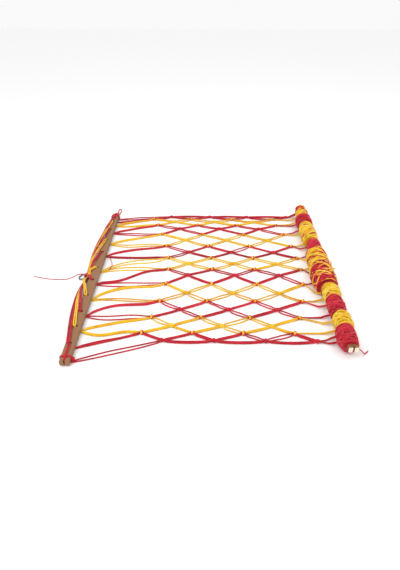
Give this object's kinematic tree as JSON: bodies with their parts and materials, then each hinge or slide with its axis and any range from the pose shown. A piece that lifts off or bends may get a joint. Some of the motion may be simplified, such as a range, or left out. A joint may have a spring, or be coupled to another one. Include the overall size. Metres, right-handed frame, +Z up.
{
  "type": "knotted cord net with spreader bars",
  "caption": "Hand-knotted cord net between two wooden spreader bars, with a hanging ring on a bridle of cords and the far part of the net wound on one bar.",
  "frame": {"origin": "middle of the object's outline seen from above, without its loose cords, on the floor", "axes": "+X along the net, from the bare bar to the roll; +Y along the bars; +Z up"},
  "size_m": [1.2242, 1.096, 0.086],
  "materials": {
    "red_cord": "twisted cotton cord, crimson",
    "gold_cord": "twisted cotton cord, golden yellow",
    "wood": "plain hardwood batten, oiled",
    "ring_steel": "dull dark steel"
  },
  "bodies": {
    "roll": {"right_bar": "wood", "winding_01": "red_cord", "winding_02": "gold_cord", "winding_03": "red_cord", "winding_04": "gold_cord", "winding_05": "red_cord", "winding_06": "gold_cord", "winding_07": "red_cord", "winding_08": "gold_cord", "winding_09": "red_cord", "winding_10": "gold_cord", "winding_11": "red_cord", "near_end_loop": "red_cord", "gold_tail": "gold_cord", "red_tail": "red_cord"},
    "net_right": {"net_cord_01_right": "red_cord", "net_cord_02_right": "gold_cord", "net_cord_03_right": "red_cord", "net_cord_04_right": "gold_cord", "net_cord_05_right": "red_cord", "net_cord_06_right": "gold_cord", "net_cord_07_right": "red_cord", "net_cord_08_right": "gold_cord", "net_cord_09_right": "red_cord", "net_cord_10_right": "gold_cord", "net_cord_11_right": "red_cord"},
    "net_middle": {"net_cord_01_middle": "red_cord", "net_cord_02_middle": "gold_cord", "net_cord_03_middle": "red_cord", "net_cord_04_middle": "gold_cord", "net_cord_05_middle": "red_cord", "net_cord_06_middle": "gold_cord", "net_cord_07_middle": "red_cord", "net_cord_08_middle": "gold_cord", "net_cord_09_middle": "red_cord", "net_cord_10_middle": "gold_cord", "net_cord_11_middle": "red_cord"},
    "net_left": {"net_cord_01_left": "red_cord", "net_cord_02_left": "gold_cord", "net_cord_03_left": "red_cord", "net_cord_04_left": "gold_cord", "net_cord_05_left": "red_cord", "net_cord_06_left": "gold_cord", "net_cord_07_left": "red_cord", "net_cord_08_left": "gold_cord", "net_cord_09_left": "red_cord", "net_cord_10_left": "gold_cord", "net_cord_11_left": "red_cord", "dangling_string": "red_cord"},
    "bare_bar": {"left_bar": "wood", "hole_cords": "red_cord", "far_end_loop": "red_cord"},
    "bridle": {"bridle_red": "red_cord", "bridle_gold": "gold_cord", "ring_hitch": "red_cord", "trailing_string": "red_cord"},
    "ring": {"ring": "ring_steel"}
  },
  "joints": [
    {"name": "roll_edge", "type": "hinge", "parent": "roll", "child": "net_right", "pos_m": [0.41126, 0, 0.00865], "axis": [0, 1, 0], "range_deg": [0, 30]},
    {"name": "right_fold", "type": "hinge", "parent": "net_right", "child": "net_middle", "pos_m": [0.20986, 0, 0.00865], "axis": [0, 1, 0], "range_deg": [0, 90]},
    {"name": "left_fold", "type": "hinge", "parent": "net_middle", "child": "net_left", "pos_m": [-0.06164, 0, 0.00865], "axis": [0, 1, 0], "range_deg": [0, 90]},
    {"name": "bar_tilt", "type": "hinge", "parent": "net_left", "child": "bare_bar", "pos_m": [-0.42574, 0, 0.00515], "axis": [0, 1, 0], "range_deg": [0, 60]},
    {"name": "bridle_swing", "type": "hinge", "parent": "bare_bar", "child": "bridle", "pos_m": [-0.44174, -0.0375, 0.02824], "axis": [0, 1, 0], "range_deg": [0, 110]},
    {"name": "ring_swing", "type": "hinge", "parent": "bridle", "child": "ring", "pos_m": [-0.47674, -0.0375, 0.0105], "axis": [0, 1, 0], "range_deg": [0, 90]}
  ]
}
